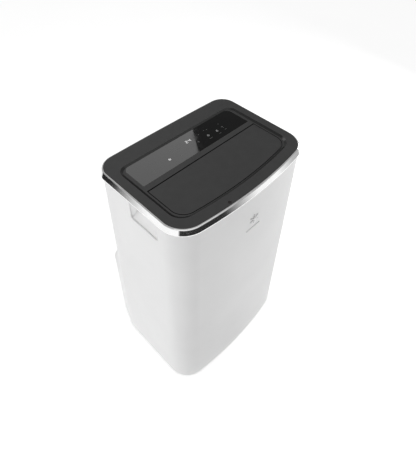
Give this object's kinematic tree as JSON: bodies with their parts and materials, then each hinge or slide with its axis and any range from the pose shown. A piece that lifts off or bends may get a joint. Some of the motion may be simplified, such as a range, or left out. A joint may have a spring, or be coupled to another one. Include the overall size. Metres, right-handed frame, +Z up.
{
  "type": "portable air conditioner",
  "caption": "Floor-standing room air conditioner: curved case, bright ring, dark deck with a motor-driven outlet flap over air guides, rear intake cover, hose collar and swivel casters.",
  "frame": {"origin": "on the floor under the middle of the case's outline", "axes": "+Z up, -Y towards the front with the emblem, +X to the right seen from the front"},
  "size_m": [0.45, 0.38, 0.73],
  "materials": {
    "case_white": "smooth moulded, low gloss",
    "deck_grey": "fine satin grain",
    "ring_chrome": "polished plating on plastic",
    "touch_glass": "polished, back printed black",
    "lens_black": "polished",
    "board_green": "solder mask",
    "duct_black": "satin moulded",
    "pan_grey": "moulded, light grain",
    "blower_grey": "moulded",
    "collar_grey": "moulded",
    "motor_zinc": "zinc-plated sheet",
    "small_motor": "plated can",
    "gear_nylon": "natural nylon",
    "compressor_black": "semi-gloss black enamel",
    "copper": "drawn copper",
    "fin_aluminium": "thin pressed fins",
    "filter_mesh": "woven mesh in a moulded frame",
    "soft_black": "matte rubber",
    "screw_steel": "zinc plated",
    "caster_black": "moulded nylon",
    "caster_tread": "moulded nylon"
  },
  "bodies": {
    "cabinet": {"front_shell": "case_white", "rear_shell": "case_white", "lower_grille": "case_white", "handle_left": "case_white", "handle_right": "case_white", "top_deck": "deck_grey", "chrome_ring": "ring_chrome", "front_emblem": "ring_chrome", "control_glass": "touch_glass", "ir_lens": "lens_black", "control_board": "board_green", "outlet_throat": "duct_black", "base_pan": "pan_grey", "divider_tray": "pan_grey", "evap_scroll": "blower_grey", "cond_scroll": "blower_grey", "exhaust_collar": "collar_grey", "evap_motor": "motor_zinc", "cond_motor": "motor_zinc", "splash_motor": "motor_zinc", "electrical_box": "motor_zinc", "flap_motor": "small_motor", "vane_motor": "small_motor", "compressor": "compressor_black", "accumulator": "compressor_black", "copper_pipes": "copper", "evaporator": "fin_aluminium", "condenser": "fin_aluminium", "lower_filter": "filter_mesh", "compressor_mounts": "soft_black", "cord_gland": "soft_black", "grille_screws": "screw_steel"},
    "flap": {"outlet_flap": "deck_grey"},
    "pinion": {"flap_pinion": "gear_nylon", "flap_rotor": "screw_steel"},
    "link": {"vane_link": "duct_black"},
    "evap_fan": {"evap_wheel": "blower_grey"},
    "cond_fan": {"cond_wheel": "blower_grey"},
    "splasher": {"splash_wheel": "blower_grey"},
    "rear_cover": {"upper_cover": "case_white", "upper_filter": "filter_mesh"},
    "lower_plug": {"lower_drain_plug": "soft_black"},
    "upper_plug": {"upper_drain_plug": "soft_black"},
    "guide_1": {"vane_1": "duct_black"},
    "guide_2": {"vane_2": "duct_black"},
    "guide_3": {"vane_3": "duct_black"},
    "guide_4": {"vane_4": "duct_black"},
    "guide_5": {"vane_5": "duct_black"},
    "swivel_front_left": {"caster_fork_front_left": "caster_black", "caster_axle_front_left": "screw_steel"},
    "roller_front_left": {"caster_wheel_front_left": "caster_tread"},
    "swivel_front_right": {"caster_fork_front_right": "caster_black", "caster_axle_front_right": "screw_steel"},
    "roller_front_right": {"caster_wheel_front_right": "caster_tread"},
    "swivel_rear_left": {"caster_fork_rear_left": "caster_black", "caster_axle_rear_left": "screw_steel"},
    "roller_rear_left": {"caster_wheel_rear_left": "caster_tread"},
    "swivel_rear_right": {"caster_fork_rear_right": "caster_black", "caster_axle_rear_right": "screw_steel"},
    "roller_rear_right": {"caster_wheel_rear_right": "caster_tread"}
  },
  "joints": [
    {"name": "flap_hinge", "type": "hinge", "parent": "cabinet", "child": "flap", "pos_m": [0, -0.0212, 0.72525], "axis": [-1, 0, 0], "range_deg": [0, 70]},
    {"name": "pinion_spin", "type": "hinge", "parent": "cabinet", "child": "pinion", "pos_m": [-0.161, -0.04687, 0.70548], "axis": [-1, 0, 0], "range_deg": [-304, 0]},
    {"name": "guide_1_swing", "type": "hinge", "parent": "cabinet", "child": "guide_1", "pos_m": [-0.12, -0.074, 0.672], "axis": [0, 1, 0], "range_deg": [-25, 25]},
    {"name": "guide_2_swing", "type": "hinge", "parent": "cabinet", "child": "guide_2", "pos_m": [-0.06, -0.074, 0.672], "axis": [0, 1, 0], "range_deg": [-25, 25]},
    {"name": "guide_3_swing", "type": "hinge", "parent": "cabinet", "child": "guide_3", "pos_m": [0, -0.074, 0.672], "axis": [0, 1, 0], "range_deg": [-25, 25]},
    {"name": "guide_4_swing", "type": "hinge", "parent": "cabinet", "child": "guide_4", "pos_m": [0.06, -0.074, 0.672], "axis": [0, 1, 0], "range_deg": [-25, 25]},
    {"name": "guide_5_swing", "type": "hinge", "parent": "cabinet", "child": "guide_5", "pos_m": [0.12, -0.074, 0.672], "axis": [0, 1, 0], "range_deg": [-25, 25]},
    {"name": "link_slide", "type": "slide", "parent": "cabinet", "child": "link", "axis": [1, 0, 0], "range_m": [-0.007, 0.007]},
    {"name": "evap_fan_spin", "type": "hinge", "parent": "cabinet", "child": "evap_fan", "pos_m": [0, -0.081, 0.52], "axis": [0, 1, 0], "continuous": true},
    {"name": "cond_fan_spin", "type": "hinge", "parent": "cabinet", "child": "cond_fan", "pos_m": [0.084, 0, 0.165], "axis": [1, 0, 0], "continuous": true},
    {"name": "splasher_spin", "type": "hinge", "parent": "cabinet", "child": "splasher", "pos_m": [-0.065, 0.095, 0.052], "axis": [1, 0, 0], "continuous": true},
    {"name": "cover_hinge", "type": "hinge", "parent": "cabinet", "child": "rear_cover", "pos_m": [0, 0.13193, 0.424], "axis": [-1, 0, 0], "range_deg": [0, 35]},
    {"name": "lower_plug_pull", "type": "slide", "parent": "cabinet", "child": "lower_plug", "axis": [0, 1, 0], "range_m": [0, 0.025]},
    {"name": "upper_plug_pull", "type": "slide", "parent": "cabinet", "child": "upper_plug", "axis": [0, 1, 0], "range_m": [0, 0.02]},
    {"name": "front_left_swivel", "type": "hinge", "parent": "cabinet", "child": "swivel_front_left", "pos_m": [-0.165, -0.12, 0.06], "axis": [0, 0, 1], "continuous": true},
    {"name": "front_left_roll", "type": "hinge", "parent": "swivel_front_left", "child": "roller_front_left", "pos_m": [-0.165, -0.106, 0.02], "axis": [1, 0, 0], "continuous": true},
    {"name": "front_right_swivel", "type": "hinge", "parent": "cabinet", "child": "swivel_front_right", "pos_m": [0.165, -0.12, 0.06], "axis": [0, 0, 1], "continuous": true},
    {"name": "front_right_roll", "type": "hinge", "parent": "swivel_front_right", "child": "roller_front_right", "pos_m": [0.165, -0.106, 0.02], "axis": [1, 0, 0], "continuous": true},
    {"name": "rear_left_swivel", "type": "hinge", "parent": "cabinet", "child": "swivel_rear_left", "pos_m": [-0.165, 0.105, 0.06], "axis": [0, 0, 1], "continuous": true},
    {"name": "rear_left_roll", "type": "hinge", "parent": "swivel_rear_left", "child": "roller_rear_left", "pos_m": [-0.165, 0.119, 0.02], "axis": [1, 0, 0], "continuous": true},
    {"name": "rear_right_swivel", "type": "hinge", "parent": "cabinet", "child": "swivel_rear_right", "pos_m": [0.165, 0.105, 0.06], "axis": [0, 0, 1], "continuous": true},
    {"name": "rear_right_roll", "type": "hinge", "parent": "swivel_rear_right", "child": "roller_rear_right", "pos_m": [0.165, 0.119, 0.02], "axis": [1, 0, 0], "continuous": true}
  ],
  "couplings": [
    {"joint": "pinion_spin", "follows": "flap_hinge", "ratio": -4.3333},
    {"joint": "guide_2_swing", "follows": "guide_1_swing", "ratio": 1},
    {"joint": "guide_3_swing", "follows": "guide_1_swing", "ratio": 1},
    {"joint": "guide_4_swing", "follows": "guide_1_swing", "ratio": 1},
    {"joint": "guide_5_swing", "follows": "guide_1_swing", "ratio": 1},
    {"joint": "link_slide", "follows": "guide_1_swing", "m_per_rad": -0.016}
  ]
}
